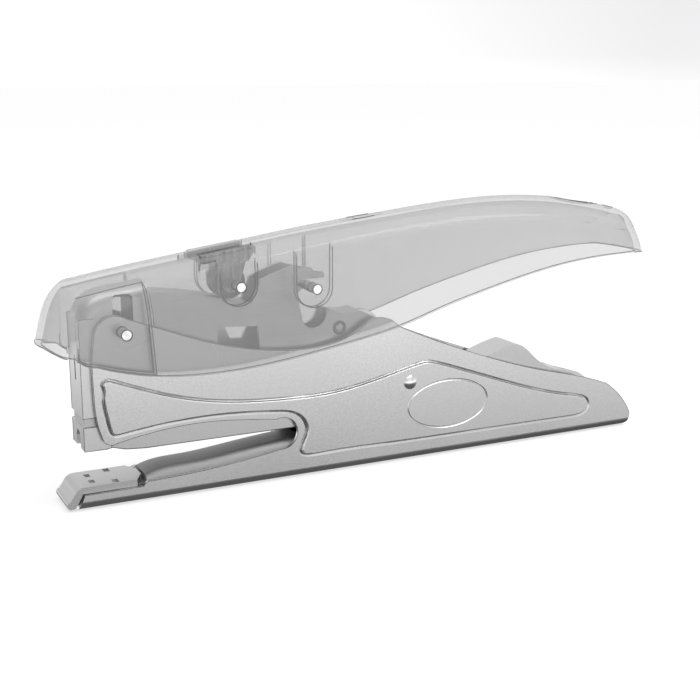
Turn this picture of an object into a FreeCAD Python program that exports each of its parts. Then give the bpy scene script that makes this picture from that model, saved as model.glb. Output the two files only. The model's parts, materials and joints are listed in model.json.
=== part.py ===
"""Long reach plier stapler: a folded sheet body with a long lower arm, a hinged magazine and
head, an inner drive lever and a clear moulded squeeze lever.

Millimetres.  X runs from the nose to the tail, Y across, Z up.  Stations along X are counted from
the nose of the body, and each sub-part's Placement then moves station `mid_station` to X = 0.
"""

import FreeCAD, Part
import math
import os

from FreeCAD import Rotation, Vector

DOC = FreeCAD.newDocument("LongReachStapler")

# --------------------------------------------------------------------------------------------
# Driving dimensions
# --------------------------------------------------------------------------------------------

DIMENSIONS = {
    "mid_station": 81.402,        # station that lands on X = 0
    "body_width": 13.6,           # outside of the folded body
    "body_sheet": 1.0,            # its sheet thickness
    "body_fold": 2.2,             # outside radius of the bottom folds
    "panel_rise": 0.35,           # how far the side panel is pressed outwards
    "panel_edge": 0.3,            # rounding along its edge
    "foot_width": 0.8,            # groove along the foot of the panel's edge
    "foot_depth": 0.42,
    "oval_line": 0.3,             # radius of the line pressed round the oval
    "cap_width": 12.0,            # anvil cap
    "pocket_depth": 0.5,
    "arm_width": 11.5,            # stiffening channel in the lower arm
    "arm_sheet": 1.2,
    "neck_width": 9.6,
    "arm_crown": 2.6,             # radius of its rounded top edges
    "lever_width": 22.0,          # squeeze lever moulding
    "lever_wall": 1.6,
    "lug_radius": 4.9,
    "lug_reach": 2.0,             # how far a lug stands in from the wall
    "pin_radius": 1.25,
    "pin_length": 21.9,
    "running_gap": 0.05,          # radial clearance of every running fit
    "roller_radius": 4.1,
    "roller_width": 5.6,
    "bracket_width": 8.2,
    "bracket_sheet": 0.9,
    "tab_reach": 5.9,             # the bracket's tabs in the roof slots, out from the middle
    "tab_width": 2.6,
    "tab_slot": 2.8,
    "drive_width": 8.2,           # inner drive lever
    "drive_sheet": 1.1,
    "pivot_radius": 1.5,
    "saddle_width": 5.4,          # pivot saddle, cheeks and foot
    "saddle_slot": 3.4,
    "saddle_foot": 11.4,
    "head_width": 11.0,           # head shell, nose and magazine
    "head_sheet": 0.5,
    "cap_round": 3.4,             # rounding of the head's cap towards its flanks
    "core_width": 9.0,
    "magazine_sheet": 0.65,
    "spacer_width": 10.2,
    "rail_width": 7.8,
    "rail_sheet": 0.6,
    "rail_slot": 2.0,
    "crown_width": 9.2,           # a staple across its crown
    "staple_wire": 0.5,
    "blade_sheet": 0.55,
    "carrier_width": 5.2,
    "carrier_foot": 8.8,
    "tip_radius": 1.0,
    "rivet_radius": 1.5,
    "rivet_head": 1.9,
    "rod_radius": 0.8,
    "grip_width": 10.0,
    "grip_sheet": 0.8,
    "tongue_width": 4.2,          # the pusher's tongue round the rod
    "arch_depth": 3.9,            # arch in the front of the nose
}

# Pivot stations and heights (X, Z).
FRONT_PIVOT = (13.2, 43.1)        # squeeze lever on the body
ROLLER_PIVOT = (42.0, 52.1)       # drive roller in the squeeze lever
LIFT_PIVOT = (62.2, 50.0)         # lift pin in the squeeze lever
DRIVE_PIVOT = (71.5, 38.0)        # drive lever on its saddle
MAGAZINE_PIVOT = (91.0, 21.7)     # magazine on the body
TIP_PIVOT = (8.0, 38.5)           # driver pin in the tip of the drive lever

TAB_MIDDLE = 4.6                  # middle of each roof slot, from the centre plane
FLOOR_TOP = 13.95                 # inside of the magazine floor
ROD_HEIGHT = 15.75
BLADE_FRONT = 4.05                # front face of the driver blade
THROUGH = 400.0                   # longer than the whole stapler, for cuts that go right through
PROUD = 1.0                       # how far a cutting slab stands out past the face it cuts

# Mean coil radius, wire radius, pitch and length of each spring.
SPRINGS = {
    "magazine_spring": (2.4, 0.35, 2.3, 11.3),
    "return_spring": (2.2, 0.3, 0.75, 2.25),
    "pusher_spring": (1.15, 0.2, 3.6, 50.4),
}


def make_sheet():
    """Write the driving dimensions into the document's spreadsheet."""
    sheet = DOC.addObject("Spreadsheet::Sheet", "Dims")
    for row, (alias, value) in enumerate(DIMENSIONS.items(), start=1):
        sheet.set(f"A{row}", alias)
        sheet.set(f"B{row}", str(value))
        sheet.setAlias(f"B{row}", alias)
    DOC.recompute()
    return sheet


SHEET = make_sheet()
PARTS = []


def dim(alias):
    """A driving dimension, as the spreadsheet holds it."""
    return float(getattr(SHEET, alias))


# --------------------------------------------------------------------------------------------
# Outlines
# --------------------------------------------------------------------------------------------


class Outline:
    """A closed outline of lines, three-point arcs and smooth curves, in a sketch's own plane."""

    def __init__(self, u, v):
        self.first = Vector(u, v, 0)
        self.here = self.first
        self.edges = []

    def line(self, *points):
        for point in points:
            end = Vector(point[0], point[1], 0)
            self.edges.append(Part.LineSegment(self.here, end))
            self.here = end
        return self

    def arc(self, middle, end):
        end = Vector(end[0], end[1], 0)
        self.edges.append(Part.Arc(self.here, Vector(middle[0], middle[1], 0), end))
        self.here = end
        return self

    def curve(self, *points):
        ends = [Vector(point[0], point[1], 0) for point in points]
        spline = Part.BSplineCurve()
        spline.interpolate(Points=[self.here] + ends)
        self.edges.append(spline)
        self.here = ends[-1]
        return self

    def close(self):
        if self.here.distanceToPoint(self.first) > 1e-6:
            self.line((self.first.x, self.first.y))
        return self

    def wire(self):
        return Part.Wire([edge.toShape() for edge in self.edges])

    def loop(self, *points):
        """One smooth closed curve from the start point through the others."""
        spline = Part.BSplineCurve()
        ring = [self.first] + [Vector(point[0], point[1], 0) for point in points]
        spline.interpolate(Points=ring, PeriodicFlag=True)
        self.edges = [spline]
        return self


def box_outline(u0, v0, u1, v1):
    return Outline(u0, v0).line((u1, v0), (u1, v1), (u0, v1)).close()


def circle_outline(centre, radius):
    outline = Outline(centre[0] - radius, centre[1])
    outline.arc((centre[0], centre[1] + radius), (centre[0] + radius, centre[1]))
    outline.arc((centre[0], centre[1] - radius), (centre[0] - radius, centre[1]))
    return outline


# --------------------------------------------------------------------------------------------
# Building blocks
# --------------------------------------------------------------------------------------------


def finish_part(item, label):
    """Name a sub-part, put it in its place and keep it for export."""
    item.Label = label
    item.setExpression("Placement.Base.x", "-Dims.mid_station")
    PARTS.append(item)
    return item


def new_body(name):
    return DOC.addObject("PartDesign::Body", name + "_body")


def sketch_on(body, role, outline, offset=0.0):
    sketch = body.newObject("Sketcher::SketchObject", "sketch")
    plane = next(item for item in body.Origin.OriginFeatures if item.Role == role)
    sketch.AttachmentSupport = [(plane, "")]
    sketch.MapMode = "FlatFace"
    sketch.AttachmentOffset = FreeCAD.Placement(Vector(0, 0, offset), Rotation())
    for part in outline if isinstance(outline, list) else [outline]:
        sketch.addGeometry(part.edges, False)
    return sketch


def pad(body, outline, width, role="XZ_Plane"):
    """Add the outline, `width` thick and centred on its plane."""
    feature = body.newObject("PartDesign::Pad", "pad")
    feature.Profile = sketch_on(body, role, outline)
    feature.SideType = "Symmetric"
    feature.setExpression("Length", width)
    return feature


def pocket(body, outline, width, role="XZ_Plane"):
    """Cut the outline away, `width` thick and centred on its plane."""
    feature = body.newObject("PartDesign::Pocket", "pocket")
    feature.Profile = sketch_on(body, role, outline)
    feature.SideType = "Symmetric"
    feature.setExpression("Length", width)
    return feature


def round_edges(body, radius, test):
    """Fillet the edges of the body's tip that pass the test."""
    DOC.recompute()
    tip = body.Tip
    names = [f"Edge{n}" for n, edge in enumerate(tip.Shape.Edges, start=1) if test(edge)]
    feature = body.newObject("PartDesign::Fillet", "fillet")
    feature.Base = (tip, names)
    feature.setExpression("Radius", radius)
    return feature


def runs_along_x(edge, half_width, low, high):
    """True for an edge that runs along X on either flank, between two heights."""
    box = edge.BoundBox
    on_flank = abs(abs(box.Center.y) - half_width) < 1e-3 and box.YLength < 1e-3
    return on_flank and box.XLength > 4 * max(box.ZLength, 0.2) and low <= box.Center.z <= high


def cross_pin(name, centre, radius, length):
    """A plain pin across the stapler."""
    pin = DOC.addObject("Part::Cylinder", name + "_pin")
    pin.setExpression("Radius", radius)
    pin.setExpression("Height", length)
    pin.Placement = FreeCAD.Placement(Vector(0, 0, centre[1]), Rotation(Vector(1, 0, 0), 90))
    pin.setExpression("Placement.Base.x", f"{centre[0]} - Dims.mid_station")
    pin.setExpression("Placement.Base.y", length + " / 2")
    pin.Label = name
    PARTS.append(pin)
    return pin


def shape_part(label, shape):
    """A sub-part whose shape comes from Part's own functions, moved for good to where it lies."""
    place = shape.Placement.toMatrix()
    shape = shape.copy()
    shape.Placement = FreeCAD.Placement()
    shape.transformShape(place, True)
    item = DOC.addObject("Part::Feature", label + "_shape")
    item.Shape = shape
    return finish_part(item, label)


def slab(outline, y0, y1):
    """An outline in X-Z, solid from y0 to y1."""
    face = Part.Face(outline.wire())
    face.rotate(Vector(0, 0, 0), Vector(1, 0, 0), 90)
    face.translate(Vector(0, y0, 0))
    return face.extrude(Vector(0, y1 - y0, 0))


def flank_edges(solid, half_width):
    """The edges of a slab that lie in either of its flanks."""
    def on_flank(edge):
        box = edge.BoundBox
        return abs(abs(box.Center.y) - half_width) < 1e-4 and box.YLength < 1e-4
    return [edge for edge in solid.Edges if on_flank(edge)]


def run_along(outline, section, y):
    """Sweep a section round a closed outline in the plane `y`.

    The section's points are (out, away): `out` from the outline within the plane, `away` along Y.
    """
    path = outline.wire()
    path.rotate(Vector(0, 0, 0), Vector(1, 0, 0), 90)
    path.translate(Vector(0, y, 0))
    edge = path.Edges[0]
    start = edge.valueAt(edge.FirstParameter)
    along = edge.tangentAt(edge.FirstParameter).normalize()
    out = along.cross(Vector(0, 1, 0))
    points = [start + out * across + Vector(0, 1, 0) * away for across, away in section]
    sweep = Part.BRepOffsetAPI.MakePipeShell(path)
    sweep.setBiNormalMode(Vector(0, 1, 0))
    sweep.add(Part.makePolygon(points + points[:1]), False, False)
    sweep.build()
    sweep.makeSolid()
    return sweep.shape()


def cross_cylinder(centre, radius, y0, y1):
    return Part.makeCylinder(radius, y1 - y0, Vector(centre[0], y0, centre[1]), Vector(0, 1, 0))


def coil(radius, wire_radius, pitch, height):
    """A round-wire helix about Z that starts at the origin plane."""
    helix = Part.makeHelix(pitch, height, radius)
    start = Part.makeCircle(wire_radius, Vector(radius, 0, 0), Vector(0, 1, 0))
    return Part.Wire(helix.Edges).makePipeShell([Part.Wire(start)], True, True)


# --------------------------------------------------------------------------------------------
# Body: folded shell, lower arm, anvil cap, pins and springs
# --------------------------------------------------------------------------------------------


def shell_outline():
    """Side view of the folded body, with the long throat between its two jaws."""
    shape = Outline(0.8, 0)
    shape.line((162.6, 0))
    shape.curve((164.9, 1.0), (165.4, 3.2), (164.2, 6.0), (161.2, 9.8), (156.5, 13.7))
    shape.curve((148.2, 16.5), (132.2, 20.6), (114.8, 26.2), (97.2, 33.0), (87.6, 37.3))
    shape.arc((82.6, 40.1), (77.7, 38.7))
    shape.curve((70.4, 35.1), (60.7, 33.9), (47.9, 35.1), (37.1, 37.6), (20.8, 43.6), (14.4, 46.1))
    shape.arc((10.0, 46.9), (6.5, 42.9))
    shape.curve((5.7, 36.0), (5.75, 28.5), (6.3, 21.4), (7.3, 17.8))
    shape.arc((8.1, 16.2), (9.8, 15.5))
    shape.curve((22.6, 17.7), (32.5, 18.2), (42.6, 17.6), (52.5, 16.4))
    shape.arc((58.3, 12.3), (53.5, 8.2))
    shape.curve((36.5, 6.0), (19.0, 5.0))
    shape.arc((17.6, 4.7), (17.0, 3.9))
    shape.line((2.4, 3.8))
    return shape.close()


def panel_outline():
    """Side view of the pressed panel, which sweeps round the throat and along the body."""
    shape = Outline(8.15, 30.2)
    shape.loop(
        (8.35, 31.1), (9.2, 31.35), (10.6, 30.95), (13.5, 29.8), (22.6, 26.4), (32.9, 23.6), (43.7, 22.0),
        (54.8, 21.3), (67.0, 21.3), (78.0, 22.8), (88.0, 25.0), (93.6, 26.2), (96.0, 26.5), (98.4, 26.1),
        (104.5, 24.1), (114.0, 20.7), (124.3, 17.0), (135.4, 13.5), (144.0, 11.5), (147.6, 10.6),
        (149.6, 9.2), (149.7, 7.2), (147.8, 5.85), (144.5, 5.5), (130.0, 5.55), (110.0, 5.65), (86.0, 5.75),
        (66.0, 5.85), (61.4, 5.85), (59.7, 6.4), (59.6, 8.2), (61.0, 12.0), (60.0, 15.6), (57.0, 17.8),
        (52.0, 18.75), (38.2, 19.75), (24.0, 19.4), (14.4, 18.35), (11.4, 17.95), (10.1, 18.1),
        (9.55, 19.1), (8.9, 22.0), (8.3, 26.4))
    return shape


def oval_outline(centre, half_length, half_height):
    outline = Outline(centre[0] + half_length, centre[1])
    outline.edges = [Part.Ellipse(Vector(centre[0], centre[1], 0), half_length, half_height)]
    return outline


def raised_panel(side):
    """The pad that the pressed panel adds to one flank, with a rounded edge."""
    flank = dim("body_width") / 2
    face = flank + dim("panel_rise")
    pad_solid = slab(panel_outline(), *sorted((side * (flank - 0.6), side * face)))
    rim = [edge for edge in pad_solid.Edges if abs(edge.BoundBox.Center.y - side * face) < 1e-4]
    return pad_solid.makeFillet(dim("panel_edge"), rim)


def foot_groove(side):
    """The groove along the foot of the panel's edge on one flank."""
    width = dim("foot_width")
    depth = dim("foot_depth")
    over = 0.3
    section = [(0, -depth), (width, 0), (width + 0.2, over), (0, over)]
    flank = dim("body_width") / 2
    return run_along(panel_outline(), [(across, side * away) for across, away in section], side * flank)


def oval_line(side):
    """The thin line pressed round the oval on one flank."""
    face = dim("body_width") / 2 + dim("panel_rise")
    radius = dim("oval_line")
    section = [(-radius, 0.2), (-radius, 0), (-0.5 * radius, -0.6 * radius), (0, -0.8 * radius),
               (0.5 * radius, -0.6 * radius), (radius, 0), (radius, 0.2)]
    outline = oval_outline((102.8, 14.5), 12.4, 6.6)
    return run_along(outline, [(across, side * away) for across, away in section], side * face)


def folded_section():
    """Cross-section of the folded body: two walls and a floor joined by round folds."""
    half = dim("body_width") / 2
    sheet = dim("body_sheet")
    outside = dim("body_fold")
    inside = outside - sheet
    flat = half - outside
    top = 60.0
    diagonal = math.sqrt(0.5)
    shape = Outline(-half, top)
    shape.line((-half, outside))
    shape.arc((-flat - outside * diagonal, outside - outside * diagonal), (-flat, 0))
    shape.line((flat, 0))
    shape.arc((flat + outside * diagonal, outside - outside * diagonal), (half, outside))
    shape.line((half, top), (half - sheet, top), (half - sheet, outside))
    shape.arc((flat + inside * diagonal, outside - inside * diagonal), (flat, sheet))
    shape.line((-flat, sheet))
    shape.arc((-flat - inside * diagonal, outside - inside * diagonal), (sheet - half, outside))
    shape.line((sheet - half, top))
    return shape.close()


def make_frame_shell():
    half = dim("body_width") / 2
    body = new_body("frame_shell")
    pad(body, folded_section(), f"{THROUGH}", "YZ_Plane")
    waste = box_outline(-THROUGH / 2 - 1, -5, THROUGH / 2 + 1, 70)
    pocket(body, [waste, shell_outline()], "Dims.body_width")
    pocket(body, circle_outline(FRONT_PIVOT, dim("pin_radius")), "Dims.body_width")
    pocket(body, circle_outline(MAGAZINE_PIVOT, dim("rivet_radius")), "Dims.body_width")

    grooves = DOC.addObject("Part::Feature", "foot_grooves")
    grooves.Shape = Part.makeCompound([foot_groove(side) for side in (-1, 1)])
    grooved = DOC.addObject("Part::Cut", "grooved_shell")
    grooved.Base = body
    grooved.Tool = grooves
    bore = cross_cylinder(MAGAZINE_PIVOT, dim("rivet_radius"), -half - PROUD, half + PROUD)
    panels = DOC.addObject("Part::Feature", "side_panels")
    panels.Shape = Part.makeCompound([raised_panel(side).cut([oval_line(side), bore]) for side in (-1, 1)])
    shell = DOC.addObject("Part::MultiFuse", "frame_shell_joined")
    shell.Shapes = [grooved, panels]
    return finish_part(shell, "frame_shell")


def make_anvil_arm():
    """Stiffening channel in the lower arm, closed at its front, with a neck under the anvil cap."""
    body = new_body("anvil_arm")
    shape = Outline(18.2, 2.6)
    shape.line((18.2, 6.1))
    shape.curve((20.7, 6.9), (29.8, 7.6), (42.2, 8.7), (51.0, 9.6), (60.0, 10.2))
    shape.line((60.0, 2.6))
    pad(body, shape.close(), "Dims.arm_width")
    half = dim("arm_width") / 2
    round_edges(body, "Dims.arm_crown", lambda e: runs_along_x(e, half, 6.0, 11.0))
    hollow = Outline(19.4, 0)
    hollow.line((19.4, 5.3), (20.7, 5.6))
    hollow.curve((29.8, 6.3), (42.2, 7.4), (51.0, 8.3), (62.0, 8.9))
    hollow.line((62, 0))
    pocket(body, hollow.close(), "Dims.arm_width - 2 * Dims.arm_sheet")
    pad(body, box_outline(13.0, 2.6, 18.4, 3.9), "Dims.neck_width")
    return finish_part(body, "anvil_arm")


def make_anvil_cap():
    body = new_body("anvil_cap")
    shape = Outline(0.2, 0.5)
    shape.line((-1.0, 0.4))
    shape.arc((-1.75, 1.2), (-1.0, 2.3))
    shape.line((0.2, 4.0))
    shape.arc((1.1, 5.1), (2.6, 5.6))
    shape.line((15.1, 5.6), (17.6, 5.8), (17.6, 3.95), (2.2, 3.95))
    pad(body, shape.close(), "Dims.cap_width")
    for side in (1, -1):
        corner = Outline(14.6, side * 8).line((19, side * 8), (19, side * 2.4), (17.4, side * 2.6))
        pocket(body, corner.close(), f"{THROUGH}", "XY_Plane")
    front = [box_outline(4.5, y - 1.15, 5.9, y + 1.15) for y in (-2.35, 2.35)]
    rear = [box_outline(9.8, y - 1.25, 11.3, y + 1.25) for y in (-4.35, 4.35)]
    pits = body.newObject("PartDesign::Pocket", "pockets")
    pits.Profile = sketch_on(body, "XY_Plane", front + rear, 5.6)
    pits.setExpression("Length", "Dims.pocket_depth")
    return finish_part(body, "anvil_cap")


def make_pivot_saddle():
    """The saddle welded between the body's walls that carries the drive lever's pivot."""
    x, z = DRIVE_PIVOT
    body = new_body("pivot_saddle")
    radius = 2.3
    cheek = Outline(x - 3.6, 25.0).line((x - radius, z)).arc((x, z + radius), (x + radius, z))
    pad(body, cheek.line((x + 3.6, 25.0)).close(), "Dims.saddle_width")
    pad(body, box_outline(x - 6, 25.0, x + 6, 26.4), "Dims.saddle_foot")
    pocket(body, box_outline(x - 9, 29.0, x + 9, 50.0), "Dims.saddle_slot")
    pocket(body, circle_outline(DRIVE_PIVOT, dim("pivot_radius")), "Dims.saddle_foot")
    return finish_part(body, "pivot_saddle")


def make_magazine_rivet():
    """The shouldered rivet that the magazine swings on, domed outside both walls."""
    half = dim("body_width") / 2 + dim("panel_rise")
    shank = cross_cylinder(MAGAZINE_PIVOT, dim("rivet_radius"), -half, half)
    x, z = MAGAZINE_PIVOT
    radius = dim("rivet_head")
    rise = 0.75
    ball = (radius * radius + rise * rise) / (2 * rise)
    heads = []
    for side in (1, -1):
        dome = Part.makeSphere(ball, Vector(x, side * (half + rise - ball), z))
        keep = cross_cylinder(MAGAZINE_PIVOT, radius, *sorted((side * half, side * (half + 2))))
        heads.append(dome.common(keep))
    return shape_part("magazine_rivet", shank.fuse(heads).removeSplitter())


def make_magazine_spring():
    """Compression spring between the body's floor and the magazine, ahead of its rivet."""
    station = 72.0
    wire_radius = SPRINGS["magazine_spring"][1]
    spring = coil(*SPRINGS["magazine_spring"])
    spring.translate(Vector(station, 0, dim("body_sheet") + wire_radius + 0.02))
    return shape_part("magazine_spring", spring)


def make_return_spring():
    """Torsion spring round the drive lever's pivot, inside its saddle."""
    spring = coil(*SPRINGS["return_spring"])
    length = SPRINGS["return_spring"][3]
    spring.rotate(Vector(0, 0, 0), Vector(1, 0, 0), 90)
    spring.translate(Vector(DRIVE_PIVOT[0], length / 2 + 0.025, DRIVE_PIVOT[1]))
    return shape_part("return_spring", spring)


# --------------------------------------------------------------------------------------------
# Squeeze lever: clear moulding, its pins, bracket and roller
# --------------------------------------------------------------------------------------------

# Station, height of the crown line, height of the shoulder where the flank ends.
LEVER_SECTIONS = (
    (-8.0, 54.3, 51.7),
    (8.0, 56.3, 53.9),
    (24.5, 58.8, 56.4),
    (44.0, 61.6, 59.0),
    (64.0, 64.4, 61.7),
    (86.0, 66.8, 64.2),
    (103.0, 68.5, 65.7),
    (122.0, 69.4, 65.8),
    (138.0, 68.5, 64.6),
    (156.0, 65.3, 61.2),
    (176.0, 59.3, 55.4),
)
# Side view of the hood's front and of the tail's end, on the centre plane (station, height).
HOOD_FRONT = (
    (-8.0, 18.0), (-5.8, 40.0), (-4.6, 45.0), (-3.3, 49.0), (-1.5, 52.0), (0.9, 54.1), (5.0, 55.9),
    (14.0, 59.0), (26.0, 64.0), (40.0, 72.0),
)
TAIL_END = (
    (170.8, 18.0), (169.6, 40.0), (169.1, 49.0), (168.4, 52.0), (166.9, 56.0), (165.2, 59.0),
    (163.3, 62.0), (158.5, 66.0), (149.0, 72.0),
)
# Top view of the same two ends: how far back the form lies at a distance from the centre plane.
HOOD_PLAN = ((0.0, 0.0), (1.2, 6.4), (3.6, 9.9), (7.2, 11.0), (15.0, 12.4))
TAIL_PLAN = ((0.0, 0.0), (1.6, 6.6), (5.2, 10.1), (10.5, 11.0), (18.0, 11.8))
# Dishes in the roof: station, height, length, width, depth, lean in degrees.
ROOF_SCOOPS = (
    (79.5, 66.6, 15.0, 5.0, 1.1, -6.0),
    (146.5, 67.3, 17.0, 7.5, 1.2, 10.0),
    (159.0, 64.6, 3.4, 3.0, 0.8, 20.0),
)


def lever_section(station, crown, shoulder, inset):
    """Cross-section of the lever at a station: flanks, rounded corners and a crowned top."""
    half = dim("lever_width") / 2 - inset
    corner = max(2.6 - inset, 0.8)
    crown = crown - inset
    shoulder = shoulder - inset
    low = 15.0
    points = [
        Vector(station, -half, low),
        Vector(station, -half, shoulder - corner),
        Vector(station, -half + 0.3 * corner, shoulder - 0.3 * corner),
        Vector(station, -half + corner, shoulder + 0.15 * corner),
        Vector(station, 0, crown),
        Vector(station, half - corner, shoulder + 0.15 * corner),
        Vector(station, half - 0.3 * corner, shoulder - 0.3 * corner),
        Vector(station, half, shoulder - corner),
        Vector(station, half, low),
    ]
    edges = [
        Part.LineSegment(points[0], points[1]),
        Part.Arc(points[1], points[2], points[3]),
        Part.Arc(points[3], points[4], points[5]),
        Part.Arc(points[5], points[6], points[7]),
        Part.LineSegment(points[7], points[8]),
        Part.LineSegment(points[8], points[0]),
    ]
    return Part.Wire([edge.toShape() for edge in edges])


def slid_surface(profile, plan):
    """The surface that a plan curve covers when it slides, unturned, along a profile curve."""
    along = Part.BSplineCurve()
    along.interpolate(Points=[Vector(x, 0, z) for x, z in profile])
    across = Part.BSplineCurve()
    across.interpolate(Points=[Vector(x, y, 0) for x, y in plan])
    poles = [[low + out for out in across.getPoles()] for low in along.getPoles()]
    surface = Part.BSplineSurface()
    surface.buildFromPolesMultsKnots(
        poles, along.getMultiplicities(), across.getMultiplicities(), along.getKnots(), across.getKnots(),
        False, False, along.Degree, across.Degree)
    return surface.toShape()


def beyond_end(profile, plan, inset, side):
    """What lies beyond the lever's hood front (side 1) or beyond its tail (side -1)."""
    narrow = 1 - 2 * inset / dim("lever_width")
    half_plan = [(side * back, across * narrow) for back, across in plan]
    whole_plan = [(x, -y) for x, y in reversed(half_plan[1:])] + half_plan
    shifted = [(x + side * inset, z) for x, z in profile]
    reach = 60.0
    return slid_surface(shifted, whole_plan).extrude(Vector(-side * reach, 0, 0))


def lever_underside():
    """Side view of everything above the lever's curved lower edge."""
    shape = Outline(-10.0, 80.0)
    shape.line((-10.0, 40.8), (-5.0, 40.6), (-1.6, 38.9), (1.2, 38.3))
    shape.arc((2.6, 37.0), (6.0, 35.9))
    shape.curve((19.9, 32.3), (33.0, 31.3), (46.4, 31.8), (62.8, 33.9), (75.0, 35.9), (87.3, 38.5),
                (99.2, 42.2), (111.5, 45.5), (124.1, 48.5), (137.1, 50.9), (150.6, 52.2), (162.0, 52.5))
    shape.line((167.6, 51.8), (174.0, 51.4), (174.0, 80.0))
    return shape.close()


def lever_form(inset):
    """The lever's outer form, or its cavity when inset by the wall."""
    tube = Part.makeLoft([lever_section(*row, inset) for row in LEVER_SECTIONS], True, False)
    front = beyond_end(HOOD_FRONT, HOOD_PLAN, inset, 1)
    tail = beyond_end(TAIL_END, TAIL_PLAN, inset, -1)
    return tube.cut([front, tail])


def scoop(station, top, length, width, depth, lean):
    """A shallow oval dish in the roof, `lean` degrees down towards the tail."""
    dish = Part.makeSphere(1.0)
    stretch = FreeCAD.Matrix()
    stretch.scale(length / 2, width / 2, depth)
    dish = dish.transformGeometry(stretch)
    dish.rotate(Vector(0, 0, 0), Vector(0, 1, 0), lean)
    dish.translate(Vector(station, 0, top))
    return dish


def lever_lug(centre, top):
    """Rounded tabs that hang from the roof inside both flanks and hold a cross pin."""
    x, z = centre
    radius = dim("lug_radius")
    outline = Outline(x - radius, z).arc((x, z - radius), (x + radius, z))
    outline.line((x + radius, top), (x - radius, top))
    outline.close()
    outside = dim("lever_width") / 2 - dim("lever_wall") + 0.2
    inside = outside - dim("lug_reach")
    return [slab(outline, -outside, -inside), slab(outline, inside, outside)]


def lever_cheek():
    """Thick front part of each flank, which bears on the front pin."""
    outline = Outline(2.0, 38.0).arc((3.2, 36.9), (6.0, 36.0))
    outline.curve((11.8, 34.3), (20.6, 32.3))
    outline.line((19.7, 45.0))
    outline.curve((18.9, 52.0), (17.8, 57.0))
    outline.line((2.0, 54.0))
    outline.close()
    outside = dim("lever_width") / 2 - dim("lever_wall") + 0.2
    inside = dim("body_width") / 2 + 0.35
    return [slab(outline, -outside, -inside), slab(outline, inside, outside)]


def roof_slot(station, length, y, width):
    """A slot through the roof."""
    bottom = 55.0
    top = 71.0
    return Part.makeBox(length, width, top - bottom, Vector(station, y - width / 2, bottom))


def make_lever_shell():
    wall = dim("lever_wall")
    half = dim("lever_width") / 2
    outer = lever_form(0.0).common(slab(lever_underside(), -half - PROUD, half + PROUD))
    cavity = lever_form(wall)
    extras = lever_lug(ROLLER_PIVOT, 60.5) + lever_lug(LIFT_PIVOT, 63) + lever_cheek()
    skin = outer.cut(cavity)
    shape = skin.fuse([extra.common(outer) for extra in extras])
    bearing = dim("pin_radius") + dim("running_gap")
    cuts = [cross_cylinder(FRONT_PIVOT, bearing, -half - PROUD, half + PROUD)]
    cuts += [cross_cylinder(pivot, dim("pin_radius"), -half - PROUD, half + PROUD)
             for pivot in (ROLLER_PIVOT, LIFT_PIVOT)]
    for side in (-1, 1):
        cuts.append(roof_slot(station=33.4, length=14.2, y=side * TAB_MIDDLE, width=dim("tab_slot")))
        cuts.append(roof_slot(station=32.4, length=4.2, y=side * 8.0, width=0.7))
    cuts += [scoop(*dish) for dish in ROOF_SCOOPS]
    shape = shape.cut(cuts).removeSplitter()
    return shape_part("lever_shell", shape)


def make_press_bracket():
    """Steel bracket hung in the lever's roof; its two legs carry the roller's pin."""
    x, z = ROLLER_PIVOT
    body = new_body("press_bracket")
    leg = Outline(x - 2.7, 58.5)
    leg.curve((x - 3.0, 56.0), (x - 2.5, z + 0.4))
    leg.arc((x, z - 2.5), (x + 2.4, z + 0.3))
    leg.curve((x + 3.2, 55.0), (x + 4.6, 59.6))
    pad(body, leg.close(), "Dims.bracket_width")
    roof_plate = 57.6
    inside = box_outline(x - 9, z - 5, x + 9, roof_plate)
    pocket(body, inside, "Dims.bracket_width - 2 * Dims.bracket_sheet")
    tabs = Outline(x - 8.2, roof_plate).line((x - 8.2, 59.5), (x + 5.2, 61.3), (x + 5.2, 59.6))
    tabs.line((x + 4.0, roof_plate))
    pad(body, tabs.close(), "2 * Dims.tab_reach")
    gap = box_outline(x - 9, roof_plate + 0.6, x + 9, 64.0)
    pocket(body, gap, "2 * Dims.tab_reach - 2 * Dims.tab_width")
    pocket(body, circle_outline(ROLLER_PIVOT, dim("pin_radius")), "Dims.bracket_width")
    return finish_part(body, "press_bracket")


def make_drive_roller():
    body = new_body("drive_roller")
    pad(body, circle_outline(ROLLER_PIVOT, dim("roller_radius")), "Dims.roller_width")
    bore = dim("pin_radius") + dim("running_gap")
    pocket(body, circle_outline(ROLLER_PIVOT, bore), "Dims.roller_width")
    return finish_part(body, "drive_roller")


# --------------------------------------------------------------------------------------------
# Drive lever
# --------------------------------------------------------------------------------------------


def drive_outline():
    """Side view of the drive lever: tip, roller track, lift hook, pin notch and pivot end."""
    shape = Outline(6.0, 36.1)
    shape.line((24.0, 33.8))
    shape.curve((40.0, 31.0), (56.0, 29.2), (70.0, 28.9), (84.0, 30.4))
    shape.arc((89.3, 33.2), (88.8, 36.7))
    shape.curve((82.6, 39.5), (77.6, 42.0))
    shape.curve((72.5, 41.8), (68.6, 43.0))
    shape.line((68.2, 42.0))
    shape.arc((64.6, 38.4), (61.0, 42.0))
    shape.line((60.3, 44.4), (59.6, 49.3))
    shape.arc((60.1, 50.9), (61.7, 51.5))
    shape.line((66.4, 51.5))
    shape.arc((67.3, 52.3), (66.6, 53.1))
    shape.curve((61.9, 54.0), (58.2, 55.1))
    shape.line((55.6, 54.3), (52.8, 53.4), (49.6, 52.1), (47.4, 46.6))
    shape.curve((41.9, 47.75), (35.7, 49.3), (28.7, 50.6), (20.4, 51.5))
    shape.line((19.4, 50.4), (17.8, 44.0), (16.4, 41.0), (8.0, 41.0))
    shape.arc((5.3, 38.5), (6.0, 36.1))
    return shape


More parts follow.
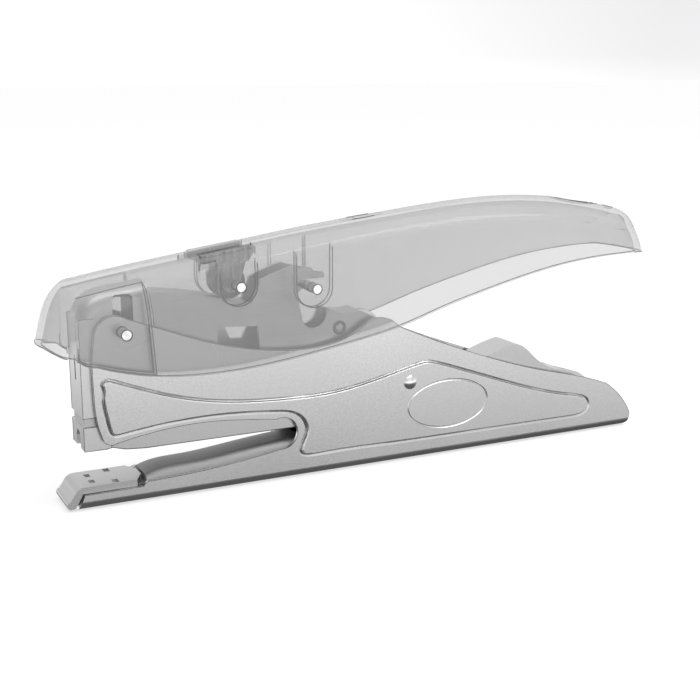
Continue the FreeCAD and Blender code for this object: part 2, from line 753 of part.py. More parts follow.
def drive_hollow():
    """What is open between the drive lever's two walls, under its web."""
    web = dim("drive_sheet")
    shape = Outline(0, 20)
    shape.line((100, 20), (100, 31.5), (88.0, 35.7), (82.2, 38.1), (77.4, 40.8), (70.8, 40.8))
    shape.line((70.8, 60), (46.6, 60), (46.6, 46.6 - web))
    shape.curve((41.9, 47.7 - web), (35.7, 49.2 - web), (28.7, 50.4 - web), (21.4, 51.2 - web))
    shape.line((21.4, 60), (0, 60))
    return shape.close()


def near_window():
    """Window in the near wall of the drive lever."""
    return Outline(38.0, 34.9).line((38.1, 41.3), (49.0, 40.6), (49.2, 34.2)).close()


def far_window():
    """Tapered window in the far wall."""
    return Outline(41.6, 41.4).line((43.9, 36.4), (47.2, 36.2), (49.8, 41.4)).close()


def make_drive_lever():
    width = "Dims.drive_width"
    half = dim("drive_width") / 2
    body = new_body("drive_lever")
    pad(body, drive_outline(), width)
    pocket(body, drive_hollow(), width + " - 2 * Dims.drive_sheet")
    pocket(body, circle_outline(DRIVE_PIVOT, dim("pivot_radius") + dim("running_gap")), width)
    pocket(body, circle_outline(TIP_PIVOT, dim("tip_radius")), width)
    windows = DOC.addObject("Part::Feature", "drive_windows")
    near = slab(near_window(), -half - PROUD, -1)
    far = slab(far_window(), 1, half + PROUD)
    windows.Shape = Part.makeCompound([near, far])
    lever = DOC.addObject("Part::Cut", "drive_lever_cut")
    lever.Base = body
    lever.Tool = windows
    return finish_part(lever, "drive_lever")


# --------------------------------------------------------------------------------------------
# Magazine and head
# --------------------------------------------------------------------------------------------


def head_cap(inset):
    """Domed cap of the head, or its hollow when inset by the sheet."""
    half = dim("head_width") / 2 - inset
    outline = Outline(3.2 + inset, 45.5)
    outline.line((3.2 + inset, 46.6))
    outline.curve((4.2 + inset, 49.2), (6.4 + 0.7 * inset, 51.4 - 0.7 * inset), (10.8, 52.9 - inset),
                  (20.1, 54.2 - inset))
    outline.line((20.7, 50.7 if not inset else 54.3 - inset), (21.4, 45.5))
    cap = slab(outline.close(), -half, half)
    crest = [edge for edge in flank_edges(cap, half) if edge.BoundBox.ZMax > 47 and edge.BoundBox.XMin < 20]
    return cap.makeFillet(dim("cap_round") - inset, crest)


def head_pin_slot(top):
    """Slot up into the head from below its cap, closed by an arch at the top, for the front pin."""
    slot = Outline(11.5, 41.0).line((11.5, top - 1.4)).arc((12.0, top - 0.3), (13.1, top))
    slot.line((15.2, top)).arc((16.2, top - 0.4), (16.5, top - 1.6))
    return slot.line((16.5, 41.0)).close()


def make_head_shell():
    sheet = dim("head_sheet")
    half = dim("head_width") / 2
    inside = half - sheet
    sides = Outline(3.2, 22.5)
    sides.line((3.2, 46.6), (21.3, 46.6), (21.4, 43.7), (21.4, 19.9), (9.8, 19.9), (9.8, 22.5))
    shape = slab(sides.close(), -half, half).fuse(head_cap(0.0))
    shape = shape.cut([slab(box_outline(3.2 + sheet, 10, 30, 46.0), -inside, inside), head_cap(sheet)])
    pin_slot = slab(head_pin_slot(51.8), -half - PROUD, half + PROUD)
    front_slot = slab(box_outline(2.4, 31.0, 4.4, 37.0), -0.45, 0.45)
    shape = shape.cut([pin_slot, front_slot])
    tab_width = 1.3
    tab = box_outline(2.7, 36.4, 3.6, 38.1)
    tabs = [slab(tab, -5.4, tab_width - 5.4), slab(tab, 5.4 - tab_width, 5.4)]
    return shape_part("head_shell", shape.fuse(tabs).removeSplitter())


def make_head_core():
    """Block inside the cap, slotted for the front pin, that keeps the head's walls apart."""
    half = dim("core_width") / 2
    body = new_body("head_core")
    shape = Outline(9.0, 44.0).line((9.0, 51.2), (10.8, 51.9), (17.4, 52.9), (17.4, 47.0), (17.0, 44.0))
    pad(body, shape.close(), "Dims.core_width")
    round_edges(body, "Dims.cap_round - 2 * Dims.head_sheet", lambda e: runs_along_x(e, half, 51.0, 54.0))
    pocket(body, head_pin_slot(51.1), "Dims.core_width")
    return finish_part(body, "head_core")


def make_head_spacer():
    body = new_body("head_spacer")
    pad(body, box_outline(3.6, 20.2, 9.8, 22.5), "Dims.spacer_width")
    pocket(body, box_outline(4.0, 19, 12, 24), "Dims.crown_width + 0.2")
    return finish_part(body, "head_spacer")


def make_head_nose():
    body = new_body("head_nose")
    width = "Dims.head_width"
    pad(body, Outline(3.2, 14.3).line((3.2, 20.2), (9.8, 20.2), (9.8, 14.5), (8.6, 14.3)).close(), width)
    pocket(body, box_outline(4.0, 10, 12, 30), "Dims.crown_width + 0.2")
    arch = body.newObject("PartDesign::Pocket", "arch")
    outline = Outline(-1.9, 12).line((-1.9, 16.7)).arc((0, 18.6), (1.9, 16.7)).line((1.9, 12)).close()
    arch.Profile = sketch_on(body, "YZ_Plane", outline, 0)
    arch.setExpression("Length", "Dims.arch_depth")
    arch.Reversed = True
    return finish_part(body, "head_nose")


def make_magazine_channel():
    x, z = MAGAZINE_PIVOT
    body = new_body("magazine_channel")
    shape = Outline(9.8, 14.6)
    shape.line((13.2, 13.7), (18.1, 13.3), (112.0, 13.3), (112.0, 19.8), (97.6, 19.8))
    shape.line((95.2, 22.6)).arc((x, z + 4.4), (86.8, 22.6))
    shape.line((84.4, 19.8), (9.8, 19.8))
    pad(body, shape.close(), "Dims.head_width")
    inside = "Dims.head_width - 2 * Dims.magazine_sheet"
    floor = Outline(5, 15.1).line((10.4, 14.95), (13.3, 14.2), (18.1, FLOOR_TOP), (120, FLOOR_TOP))
    pocket(body, floor.line((120, 40), (5, 40)).close(), inside)
    pocket(body, circle_outline(MAGAZINE_PIVOT, dim("rivet_radius") + dim("running_gap")),
           "Dims.head_width")
    return finish_part(body, "magazine_channel")


def make_staple_rail():
    body = new_body("staple_rail")
    pad(body, box_outline(18.2, FLOOR_TOP, 110.0, 18.0), "Dims.rail_width")
    pad(body, Outline(6.0, 15.3).line((6.0, 18.0), (18.2, 18.0), (18.2, 14.5), (11.0, 15.1)).close(),
        "Dims.rail_width")
    pocket(body, box_outline(5, 10, 120, 17.4), "Dims.rail_width - 2 * Dims.rail_sheet")
    pocket(body, box_outline(52.5, 16, 120, 20), "Dims.rail_slot")
    return finish_part(body, "staple_rail")


def make_staple_strip():
    body = new_body("staple_strip")
    pad(body, Outline(4.8, 15.3).line((4.8, 18.6), (51.5, 18.6), (51.5, 14.3), (18.1, 14.3),
                                      (11.0, 15.1)).close(),
        "Dims.crown_width")
    pocket(body, box_outline(0, 10, 60, 18.6 - dim("staple_wire")),
           "Dims.crown_width - 2 * Dims.staple_wire")
    return finish_part(body, "staple_strip")


def make_driver_blade():
    body = new_body("driver_blade")
    pad(body, box_outline(BLADE_FRONT, 19.6, BLADE_FRONT + dim("blade_sheet"), 32.6), "Dims.crown_width")
    return finish_part(body, "driver_blade")


def make_driver_carrier():
    front = BLADE_FRONT + dim("blade_sheet")
    body = new_body("driver_carrier")
    shape = Outline(front, 27.0).line((front, 33.0), (5.0, 34.0), (5.0, 41.4), (12.4, 41.4))
    shape.line((12.4, 33.0), (9.0, 31.0), (9.0, 27.0))
    pad(body, shape.close(), "Dims.carrier_width")
    pad(body, box_outline(front, 27.0, 9.0, 32.6), "Dims.carrier_foot")
    radius = dim("tip_radius") + 0.3
    x, z = TIP_PIVOT
    slot = Outline(x, z - radius).arc((x - radius, z), (x, z + radius))
    slot.line((x + 1.8, z + radius)).arc((x + 1.8 + radius, z), (x + 1.8, z - radius))
    pocket(body, slot.close(), "Dims.carrier_foot")
    return finish_part(body, "driver_carrier")


# --------------------------------------------------------------------------------------------
# Loading rod, pusher and rear grip
# --------------------------------------------------------------------------------------------


def along_x(shape, station):
    """Lay a shape built about Z along X, its base at the station."""
    shape.rotate(Vector(0, 0, 0), Vector(0, 1, 0), 90)
    shape.translate(Vector(station, 0, ROD_HEIGHT))
    return shape


def make_pusher():
    """Saddle that rides on the rail behind the staples, with a tongue down to the rod."""
    body = new_body("pusher")
    pad(body, box_outline(52.0, 14.3, 58.0, 19.2), "Dims.crown_width")
    pocket(body, box_outline(50, 10, 60, 18.3), "Dims.rail_width + 0.4")
    pad(body, box_outline(53.2, 14.3, 57.2, 17.1), "Dims.tongue_width")
    pad(body, box_outline(53.2, 16.9, 57.2, 18.5), "Dims.rail_slot - 0.4")
    bore = body.newObject("PartDesign::Pocket", "rod_bore")
    bore.Profile = sketch_on(body, "YZ_Plane", circle_outline((0, ROD_HEIGHT), dim("rod_radius") + 0.05))
    bore.SideType = "Symmetric"
    bore.Length = THROUGH
    return finish_part(body, "pusher")


def make_pusher_rod():
    rod = along_x(Part.makeCylinder(dim("rod_radius"), 69.0), 45.0)
    return shape_part("pusher_rod", rod)


def make_pusher_spring():
    spring = along_x(coil(*SPRINGS["pusher_spring"]), 59.4)
    return shape_part("pusher_spring", spring)


def make_rear_grip():
    """Hump-backed grip of the loading rod, between the body's rear walls."""
    body = new_body("rear_grip")
    shape = Outline(114.0, 14.3)
    shape.line((114.0, 24.8)).curve((119.5, 26.8), (125.0, 28.2))
    shape.curve((127.4, 27.7), (130.6, 25.3), (133.3, 22.8), (137.0, 20.5), (142.0, 19.0))
    shape.line((151.0, 15.0), (151.0, 12.6), (118.0, 12.6))
    pad(body, shape.close(), "Dims.grip_width")
    hollow = Outline(118.0, 10).line((118.0, 25.4), (125.0, 27.3), (127.0, 26.9))
    hollow.curve((130.0, 24.7), (132.8, 22.1), (136.8, 19.7), (141.8, 18.2))
    hollow.line((148.5, 15.2), (148.5, 10)).close()
    pocket(body, hollow, "Dims.grip_width - 2 * Dims.grip_sheet")
    return finish_part(body, "rear_grip")


# --------------------------------------------------------------------------------------------
# Build, check and export
# --------------------------------------------------------------------------------------------


def build():
    make_frame_shell()
    make_anvil_arm()
    make_anvil_cap()
    cross_pin("front_pin", FRONT_PIVOT, "Dims.pin_radius", "Dims.pin_length")
    make_pivot_saddle()
    cross_pin("drive_pin", DRIVE_PIVOT, "Dims.pivot_radius", "Dims.drive_width")
    make_magazine_rivet()
    make_magazine_spring()
    make_return_spring()
    make_lever_shell()
    cross_pin("roller_pin", ROLLER_PIVOT, "Dims.pin_radius", "Dims.pin_length")
    cross_pin("lift_pin", LIFT_PIVOT, "Dims.pin_radius", "Dims.pin_length")
    make_press_bracket()
    make_drive_roller()
    make_drive_lever()
    cross_pin("tip_pin", TIP_PIVOT, "Dims.tip_radius", "Dims.drive_width")
    make_head_shell()
    make_head_core()
    make_head_spacer()
    make_head_nose()
    make_magazine_channel()
    make_staple_rail()
    make_staple_strip()
    make_driver_blade()
    make_driver_carrier()
    make_pusher()
    make_pusher_rod()
    make_pusher_spring()
    make_rear_grip()
    DOC.recompute()


def check():
    """Stop before writing anything if the document holds a failed or empty object."""
    for item in DOC.Objects:
        if "Invalid" in item.State or "Error" in item.State:
            raise RuntimeError(f"{item.Name} ({item.Label}) failed: {item.State}")
    for part in PARTS:
        shape = part.Shape
        if shape.isNull() or not shape.isValid() or not shape.Solids:
            raise RuntimeError(f"{part.Label} has no valid solid")


def export():
    os.makedirs("parts", exist_ok=True)
    for part in PARTS:
        part.Shape.exportStep(f"parts/{part.Label}.step")
        box = part.Shape.BoundBox
        print(f"{part.Label:18s} solids {len(part.Shape.Solids)}  volume {part.Shape.Volume:9.1f}  "
              f"x {box.XMin:7.1f} {box.XMax:7.1f}  y {box.YMin:6.1f} {box.YMax:6.1f}  "
              f"z {box.ZMin:6.1f} {box.ZMax:6.1f}")


build()
check()
export()
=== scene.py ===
"""Looks for the long reach plier stapler: materials, camera, light and detailed pieces."""

import json
import math

import bmesh
import bpy
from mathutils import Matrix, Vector


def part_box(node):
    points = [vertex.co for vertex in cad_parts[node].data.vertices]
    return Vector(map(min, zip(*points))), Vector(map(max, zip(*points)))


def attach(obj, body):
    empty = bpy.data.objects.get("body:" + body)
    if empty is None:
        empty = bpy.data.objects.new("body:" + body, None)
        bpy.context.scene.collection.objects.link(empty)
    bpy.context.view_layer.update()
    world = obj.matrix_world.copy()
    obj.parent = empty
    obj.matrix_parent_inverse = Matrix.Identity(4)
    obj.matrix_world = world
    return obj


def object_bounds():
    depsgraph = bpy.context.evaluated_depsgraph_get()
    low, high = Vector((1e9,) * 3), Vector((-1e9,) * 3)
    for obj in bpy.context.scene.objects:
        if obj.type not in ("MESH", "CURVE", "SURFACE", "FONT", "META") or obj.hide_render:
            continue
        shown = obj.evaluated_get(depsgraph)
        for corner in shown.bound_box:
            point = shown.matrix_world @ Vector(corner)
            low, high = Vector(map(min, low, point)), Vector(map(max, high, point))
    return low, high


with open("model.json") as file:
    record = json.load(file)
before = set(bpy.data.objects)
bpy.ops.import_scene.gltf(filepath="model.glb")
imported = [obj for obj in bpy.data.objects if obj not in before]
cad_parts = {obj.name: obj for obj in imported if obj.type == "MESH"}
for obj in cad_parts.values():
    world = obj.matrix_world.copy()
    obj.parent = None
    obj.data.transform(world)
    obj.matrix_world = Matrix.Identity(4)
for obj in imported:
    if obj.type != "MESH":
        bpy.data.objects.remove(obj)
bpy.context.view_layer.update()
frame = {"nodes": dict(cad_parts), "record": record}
NODES = frame["nodes"]
MM = 0.001


# ---------------------------------------------------------------- node helpers


def new_material(name):
    """An empty node material with its output; returns the material, its tree and the output."""
    material = bpy.data.materials.new(name)
    material.use_nodes = True
    tree = material.node_tree
    tree.nodes.clear()
    output = tree.nodes.new("ShaderNodeOutputMaterial")
    return material, tree, output


def node(tree, kind, **values):
    """A shader node with its properties and plain input values set."""
    made = tree.nodes.new(kind)
    for key, value in values.items():
        if key in made.inputs:
            made.inputs[key].default_value = value
        else:
            setattr(made, key, value)
    return made


def link(tree, source, target):
    """Join an output to an input."""
    tree.links.new(source, target)


def ramp(tree, factor, stops):
    """A colour ramp driven by a factor; stops are (position, grey)."""
    made = tree.nodes.new("ShaderNodeValToRGB")
    elements = made.color_ramp.elements
    while len(elements) < len(stops):
        elements.new(0.5)
    for element, (position, tone) in zip(elements, stops):
        element.position = position
        element.color = (tone, tone, tone, 1)
    link(tree, factor, made.inputs["Fac"])
    return made.outputs["Color"]


def multiply(tree, first, second):
    """The product of two colours."""
    made = node(tree, "ShaderNodeVectorMath", operation="MULTIPLY")
    link(tree, first, made.inputs[0])
    link(tree, second, made.inputs[1])
    return made.outputs["Vector"]


def noise(tree, scale, detail=2.0, stretch=(1, 1, 1)):
    """Noise over the piece's own space; scale is in features per metre."""
    place = tree.nodes.new("ShaderNodeTexCoord")
    mapping = node(tree, "ShaderNodeMapping", Scale=stretch)
    link(tree, place.outputs["Object"], mapping.inputs["Vector"])
    made = node(tree, "ShaderNodeTexNoise", Scale=scale, Detail=detail)
    link(tree, mapping.outputs["Vector"], made.inputs["Vector"])
    return made.outputs["Fac"]


def bump(tree, height, distance):
    """A small relief; distance is its full height in metres."""
    made = node(tree, "ShaderNodeBump", Distance=distance, Strength=1.0)
    link(tree, height, made.inputs["Height"])
    return made.outputs["Normal"]


# ---------------------------------------------------------------- materials


BLAST_GRAIN = 2700.0    # features per metre of the blasted finish
HANDLING_MARKS = 45.0   # features per metre of the faint worn patches


def satin_metal(name, tone, roughness):
    """Bead-blasted plated sheet: a very fine grain in colour and height, and faint handling marks."""
    material, tree, output = new_material(name)
    shader = node(tree, "ShaderNodeBsdfPrincipled", Metallic=1.0)
    fine = noise(tree, BLAST_GRAIN, 2.0)
    broad = noise(tree, HANDLING_MARKS, 0.0)
    link(tree, ramp(tree, fine, [(0.25, tone * 0.93), (0.75, min(tone * 1.06, 1.0))]),
         shader.inputs["Base Color"])
    rough = ramp(tree, broad, [(0.0, roughness - 0.05), (1.0, roughness + 0.05)])
    link(tree, rough, shader.inputs["Roughness"])
    link(tree, bump(tree, fine, 0.000004), shader.inputs["Normal"])
    link(tree, shader.outputs["BSDF"], output.inputs["Surface"])
    return material


def rolled_metal(name, tone, roughness, stretch=(0.08, 1, 1), grain=1800.0, contrast=0.06):
    """Plain rolled or drawn steel: long faint lines along the piece."""
    material, tree, output = new_material(name)
    shader = node(tree, "ShaderNodeBsdfPrincipled", Metallic=1.0)
    lines = noise(tree, grain, 2.0, stretch)
    link(tree, ramp(tree, lines, [(0.3, tone * (1 - contrast)), (0.7, min(tone * (1 + contrast), 1.0))]),
         shader.inputs["Base Color"])
    link(tree, ramp(tree, lines, [(0.3, roughness + 0.04), (0.7, roughness - 0.04)]),
         shader.inputs["Roughness"])
    link(tree, bump(tree, lines, 0.000006), shader.inputs["Normal"])
    link(tree, shader.outputs["BSDF"], output.inputs["Surface"])
    return material


def clear_plastic(name, tone=0.46, thin=0.29, edge=0.85):
    """Smoke-grey clear moulding: lets light through, denser and darker where seen edge-on."""
    material, tree, output = new_material(name)
    shader = node(tree, "ShaderNodeBsdfPrincipled", Metallic=0.0, IOR=1.49)
    weight = node(tree, "ShaderNodeLayerWeight", Blend=0.5)
    facing = weight.outputs["Facing"]
    body = ramp(tree, facing, [(0.0, tone), (0.8, tone), (0.93, tone * 0.7), (0.99, tone * 0.4)])
    flow = ramp(tree, noise(tree, 45.0, 0.0, (0.4, 1, 1)), [(0.0, 0.92), (1.0, 1.0)])
    link(tree, multiply(tree, body, flow), shader.inputs["Base Color"])
    depth = ramp(tree, facing, [
        (0.3, thin), (0.6, thin + 0.05), (0.77, thin + 0.19), (0.9, thin + 0.37), (0.98, edge)])
    link(tree, depth, shader.inputs["Alpha"])
    sheen = ramp(tree, noise(tree, 70.0, 0.0), [(0.0, 0.05), (1.0, 0.15)])
    link(tree, sheen, shader.inputs["Roughness"])
    link(tree, shader.outputs["BSDF"], output.inputs["Surface"])
    return material


def painted_moulding_edge_shade(name, tone=0.07, cover=0.62):
    """Painted shade on the sharp edges of the clear moulding: a dark bead where the edge looks dark
    because light is turned away.
    """
    material, tree, output = new_material(name)
    shader = node(tree, "ShaderNodeBsdfPrincipled", Metallic=0.0, IOR=1.49, Roughness=0.25)
    flow = noise(tree, 140.0, 2.0)
    link(tree, ramp(tree, flow, [(0.3, tone * 0.7), (0.7, tone * 1.4)]), shader.inputs["Base Color"])
    link(tree, ramp(tree, flow, [(0.3, cover - 0.12), (0.7, cover + 0.12)]), shader.inputs["Alpha"])
    link(tree, shader.outputs["BSDF"], output.inputs["Surface"])
    return material


def painted_steel_edge_shadow(name, tone=0.16):
    """Painted shadow along the edges of plated sheet: a dull, darker bead with uneven patches."""
    material, tree, output = new_material(name)
    shader = node(tree, "ShaderNodeBsdfPrincipled", Metallic=1.0)
    patches = noise(tree, 260.0, 3.0)
    link(tree, ramp(tree, patches, [(0.3, tone * 0.6), (0.7, tone * 1.5)]), shader.inputs["Base Color"])
    link(tree, ramp(tree, patches, [(0.3, 0.5), (0.7, 0.7)]), shader.inputs["Roughness"])
    link(tree, shader.outputs["BSDF"], output.inputs["Surface"])
    return material


MATERIALS = {
    "body_steel": satin_metal("satin_body", 0.80, 0.27),
    "arm_steel": satin_metal("satin_arm", 0.44, 0.60),
    "cap_steel": satin_metal("satin_cap", 0.60, 0.36),
    "head_steel": satin_metal("satin_head", 0.80, 0.30),
    "grip_steel": satin_metal("satin_grip", 0.68, 0.32),
    "magazine_steel": satin_metal("satin_magazine", 0.72, 0.30),
    "bracket_steel": rolled_metal("brushed_bracket", 0.30, 0.30, (1, 1, 0.05), 1500.0, 0.30),
    "lever_steel": rolled_metal("rolled_steel", 0.68, 0.36, contrast=0.04),
    "dark_steel": rolled_metal("hardened_steel", 0.12, 0.34),
    "spring_steel": rolled_metal("spring_wire", 0.60, 0.25),
    "pin_steel": rolled_metal("turned_pin", 0.92, 0.20, (1, 0.08, 1)),
    "staple_wire": rolled_metal("staple_wire", 0.75, 0.28),
    "clear_plastic": clear_plastic("clear_moulding"),
}
# A dark bead finish that paints shade on the clear lever's sharp edges.
LEVER_EDGE_SHADE = painted_moulding_edge_shade("moulding_edge_painted_shade")
# A dark bead finish that paints shadow along the edges of the steel parts.
STEEL_EDGE_SHADOW = painted_steel_edge_shadow("steel_edge_painted_shadow")


def paint_nodes():
    """Give every CAD node the material of its slot."""
    slots = {entry["node"]: entry["material_slot"] for entry in frame["record"]["subparts"]}
    for name, item in NODES.items():
        material = MATERIALS[slots[name]]
        for index in range(len(item.data.materials)):
            item.data.materials[index] = material


# ---------------------------------------------------------------- pieces


def add_object(name, data, body, material):
    """Link a new piece, let it ride on a body and give it its finish."""
    item = bpy.data.objects.new(name, data)
    bpy.context.scene.collection.objects.link(item)
    item.data.materials.append(material)
    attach(item, body)


def middle(node_name):
    """The middle of a CAD node's box."""
    low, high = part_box(node_name)
    return Vector([(low[axis] + high[axis]) / 2 for axis in range(3)])


PIN_MIDDLES = {name: middle(name) for name in ("front_pin", "roller_pin", "lift_pin")}
LEVER_HALF_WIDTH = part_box("lever_shell")[1][1]
HEAD_MIDDLE = middle("head_shell")
PIN_SURROUND = 2 * MM       # an edge this near a pin's middle goes round that pin
FLANK_AT = 6.6 * MM         # distance of the body's flank edges from the middle plane
FLANK_BAND = 0.3 * MM       # how far from there an edge still counts as one of them
LOWEST_LINE = 3 * MM        # the body has no lines lower than this, round its bottom fold
HEAD_FLANK = 5.4 * MM       # edges of head and magazine farther out than this get lines
SLOT_SIDE = 3.5 * MM        # the head has no lines this far to each side of the front pin
SLOT_BELOW = 4 * MM         # nor this far below it
SLOT_ABOVE = 12 * MM        # nor this far above it
LEAST_EDGE_ANGLE = 38.0     # degrees between two faces for their edge to get a line


def shows_dark(edge):
    """True for a sharp edge of the lever that looks like a dark line from outside.

    The edges round the pins do, and so do the inner edges of the walls, lugs and cheeks.  The outer
    rim, the roof's slots and the inside of the hood don't.
    """
    one, two = (vertex.co for vertex in edge.verts)
    spot = (one + two) / 2
    along = (two - one).normalized()
    for place in PIN_MIDDLES.values():
        away = spot - place
        if math.hypot(away.x, away.z) < PIN_SURROUND:
            return True
    on_rim = abs(spot.y) > LEVER_HALF_WIDTH - 0.3 * MM
    in_hood = spot.x < HEAD_MIDDLE.x - 9.5 * MM and spot.z > PIN_MIDDLES["front_pin"].z - 2 * MM
    by_lugs = PIN_MIDDLES["front_pin"].x + 8 * MM < spot.x < PIN_MIDDLES["lift_pin"].x + 7 * MM
    in_roof = by_lugs and spot.z > PIN_MIDDLES["roller_pin"].z + 4 * MM and abs(along.z) < 0.7
    return not (on_rim or in_hood or in_roof)


def outside_body(edge):
    """True for an edge that lies in the body's outer flanks."""
    spot = (edge.verts[0].co + edge.verts[1].co) / 2
    return abs(abs(spot.y) - FLANK_AT) < FLANK_BAND and spot.z > LOWEST_LINE


def outside_head(edge):
    """True for an edge of the head or magazine on its outer flanks, away from the front pin's slot."""
    spot = (edge.verts[0].co + edge.verts[1].co) / 2
    away = spot - PIN_MIDDLES["front_pin"]
    by_slot = abs(away.x) < SLOT_SIDE and -SLOT_BELOW < away.z < SLOT_ABOVE
    return abs(spot.y) > HEAD_FLANK and not by_slot


def sharp_edge_mesh(name, node_name, test):
    """A mesh with those of a CAD node's sharp edges that pass a test."""
    source = bmesh.new()
    source.from_mesh(NODES[node_name].data)
    bmesh.ops.remove_doubles(source, verts=source.verts, dist=0.002 * MM)
    limit = math.radians(LEAST_EDGE_ANGLE)
    sharp = [edge for edge in source.edges
             if len(edge.link_faces) == 2 and edge.calc_face_angle() > limit and test(edge)]
    used = sorted({vertex.index for edge in sharp for vertex in edge.verts})
    order = {index: place for place, index in enumerate(used)}
    source.verts.ensure_lookup_table()
    points = [source.verts[index].co.copy() for index in used]
    pairs = [(order[edge.verts[0].index], order[edge.verts[1].index]) for edge in sharp]
    source.free()
    mesh = bpy.data.meshes.new(name)
    mesh.from_pydata(points, pairs, [])
    return mesh


def make_painted_edge_lines(name, node_name, body, slot, material, radius, test):
    """Thin rounded beads along a part's sharp edges, carrying painted shade and shadow lines."""
    item = bpy.data.objects.new(name, sharp_edge_mesh(name, node_name, test))
    bpy.context.scene.collection.objects.link(item)
    bpy.ops.object.select_all(action="DESELECT")
    bpy.context.view_layer.objects.active = item
    item.select_set(True)
    bpy.ops.object.convert(target="CURVE")
    item.select_set(False)
    item.data.bevel_depth = radius
    item.data.bevel_resolution = 1
    item.data.use_fill_caps = True
    item.data.materials.append(material)
    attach(item, body)


# Radius and rise of the turned ends of the drive lever's pivot pin, in millimetres.
RING_PROFILE = ((1.0, 0.0), (1.02, 0.10), (1.25, 0.24), (1.6, 0.26), (1.85, 0.14), (1.9, 0.0))
MIDDLE_PROFILE = ((0.0, 0.20), (0.6, 0.18), (0.9, 0.08), (0.92, 0.0))


def make_drive_pin_ends(name, profile, material):
    """One turned form on each end of the drive lever's pivot pin."""
    low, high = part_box("drive_pin")
    centre = middle("drive_pin")
    steps = 40
    form = bmesh.new()
    for side, end in ((-1, low[1]), (1, high[1])):
        rings = []
        for radius, rise in profile:
            ring = []
            for step in range(steps):
                turn = 2 * math.pi * step / steps
                x = centre.x + radius * MM * math.cos(turn)
                z = centre.z + radius * MM * math.sin(turn)
                ring.append(form.verts.new((x, end + side * rise * MM, z)))
            rings.append(ring)
        for inner, outer in zip(rings, rings[1:] + rings[:1]):
            for step in range(steps):
                after = (step + 1) % steps
                form.faces.new((inner[step], outer[step], outer[after], inner[after]))
    bmesh.ops.remove_doubles(form, verts=form.verts, dist=0.001 * MM)
    bmesh.ops.recalc_face_normals(form, faces=form.faces)
    mesh = bpy.data.meshes.new(name)
    form.to_mesh(mesh)
    form.free()
    add_object(name, mesh, "frame", material)


# ---------------------------------------------------------------- stage


def make_stage():
    """Pale floor, white surroundings and soft lights."""
    low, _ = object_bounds()
    gap = 0.2 * MM
    bpy.ops.mesh.primitive_plane_add(size=8, location=(0, 0, low[2] - gap))
    floor = bpy.context.object
    floor.name = "floor"
    floor.visible_glossy = False
    material, tree, output = new_material("pale_floor")
    shader = node(tree, "ShaderNodeBsdfPrincipled", Roughness=1.0)
    shader.inputs["Base Color"].default_value = (0.42, 0.42, 0.42, 1)
    shader.inputs["Specular IOR Level"].default_value = 0.0
    shader.inputs["Emission Color"].default_value = (1, 1, 1, 1)
    shader.inputs["Emission Strength"].default_value = 0.62
    link(tree, shader.outputs["BSDF"], output.inputs["Surface"])
    floor.data.materials.append(material)

    make_world()
    for name, place, target, size, power in (
        ("key", (-0.30, -0.25, 0.95), (0.0, 0.0, 0.03), 0.6, 1.6),
        ("rim", (0.42, -0.22, 0.90), (0.0, 0.0, 0.03), 0.5, 3.0),
    ):
        lamp = bpy.data.lights.new(name, "AREA")
        lamp.size = size
        lamp.energy = power
        item = bpy.data.objects.new(name, lamp)
        item.location = place
        aim = Vector(target) - Vector(place)
        item.rotation_euler = aim.to_track_quat("-Z", "Y").to_euler()
        bpy.context.scene.collection.objects.link(item)


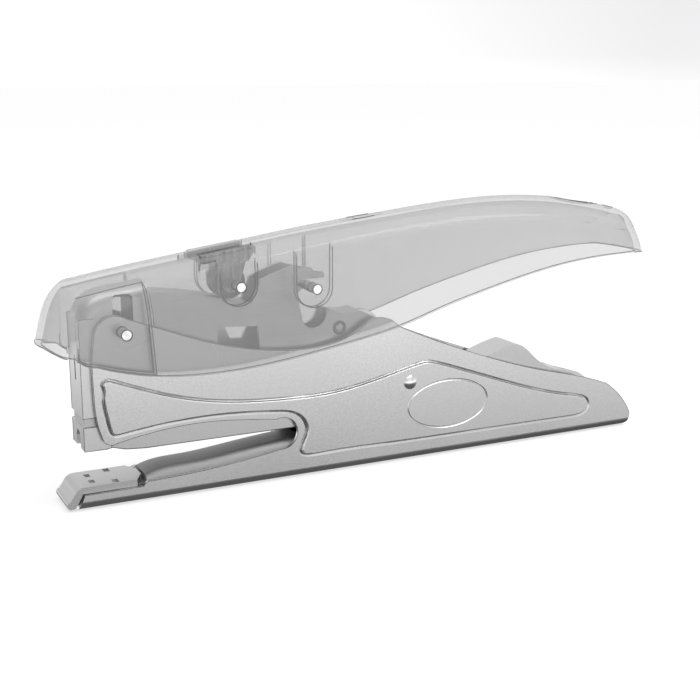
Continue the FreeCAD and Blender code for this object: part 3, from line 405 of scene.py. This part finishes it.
def make_world():
    """White surroundings: bright overhead and at the horizon, falling to dark underneath."""
    world = bpy.data.worlds.new("studio")
    world.use_nodes = True
    tree = world.node_tree
    background = tree.nodes["Background"]
    place = tree.nodes.new("ShaderNodeTexCoord")
    split = tree.nodes.new("ShaderNodeSeparateXYZ")
    link(tree, place.outputs["Generated"], split.inputs["Vector"])
    height = node(tree, "ShaderNodeMapRange")
    link(tree, split.outputs["Z"], height.inputs["Value"])
    height.inputs["From Min"].default_value = -1.0
    height.inputs["From Max"].default_value = 1.0
    levels = ramp(tree, height.outputs["Result"], [
        (0.15, 0.07), (0.27, 0.10), (0.33, 0.18), (0.37, 0.45), (0.395, 0.78), (0.42, 1.0), (0.46, 1.0),
        (0.50, 0.72), (0.56, 0.66), (0.62, 0.60), (0.73, 0.50), (0.85, 0.66), (1.0, 0.8)])
    turn = node(tree, "ShaderNodeMapRange")
    link(tree, split.outputs["X"], turn.inputs["Value"])
    turn.inputs["From Min"].default_value = -1.0
    turn.inputs["From Max"].default_value = 1.0
    sides = ramp(tree, turn.outputs["Result"], [
        (0.0, 0.45), (0.3, 0.85), (0.5, 1.0), (0.71, 1.0), (0.82, 0.82)])
    link(tree, multiply(tree, levels, sides), background.inputs["Color"])
    background.inputs["Strength"].default_value = 1.5
    bpy.context.scene.world = world


def make_camera():
    """Camera at a three-quarter view of the near flank, slightly from above."""
    camera = bpy.data.cameras.new("camera")
    camera.sensor_width = 36.0
    camera.lens = 63.26
    item = bpy.data.objects.new("camera", camera)
    item.location = (-0.1442, -0.2857, 0.1069)
    yaw = math.radians(26.0)
    pitch = math.radians(13.5)
    aim = Vector((math.sin(yaw) * math.cos(pitch), math.cos(yaw) * math.cos(pitch), -math.sin(pitch)))
    item.rotation_euler = aim.to_track_quat("-Z", "Y").to_euler()
    bpy.context.scene.collection.objects.link(item)
    bpy.context.scene.camera = item


# Painted shade and shadow lines. Piece, the CAD node it follows, its body, its slot, its look, its
# bead's radius and its edges.
PAINTED_EDGE_LINES = (
    ("lever_shade_lines", "lever_shell", "squeeze_lever", "clear_plastic",
     LEVER_EDGE_SHADE, 0.13 * MM, shows_dark),
    ("body_shadow_lines", "frame_shell", "frame", "body_steel",
     STEEL_EDGE_SHADOW, 0.07 * MM, outside_body),
    ("head_shadow_lines", "head_shell", "magazine", "head_steel",
     STEEL_EDGE_SHADOW, 0.10 * MM, outside_head),
    ("nose_shadow_lines", "head_nose", "magazine", "head_steel",
     STEEL_EDGE_SHADOW, 0.10 * MM, outside_head),
    ("magazine_shadow_lines", "magazine_channel", "magazine", "magazine_steel",
     STEEL_EDGE_SHADOW, 0.12 * MM, outside_head),
)

paint_nodes()
for line in PAINTED_EDGE_LINES:
    make_painted_edge_lines(*line)
make_drive_pin_ends("drive_pin_rings", RING_PROFILE, MATERIALS["dark_steel"])
make_drive_pin_ends("drive_pin_middles", MIDDLE_PROFILE, MATERIALS["lever_steel"])
make_stage()
make_camera()
bpy.context.scene.view_settings.view_transform = "Standard"
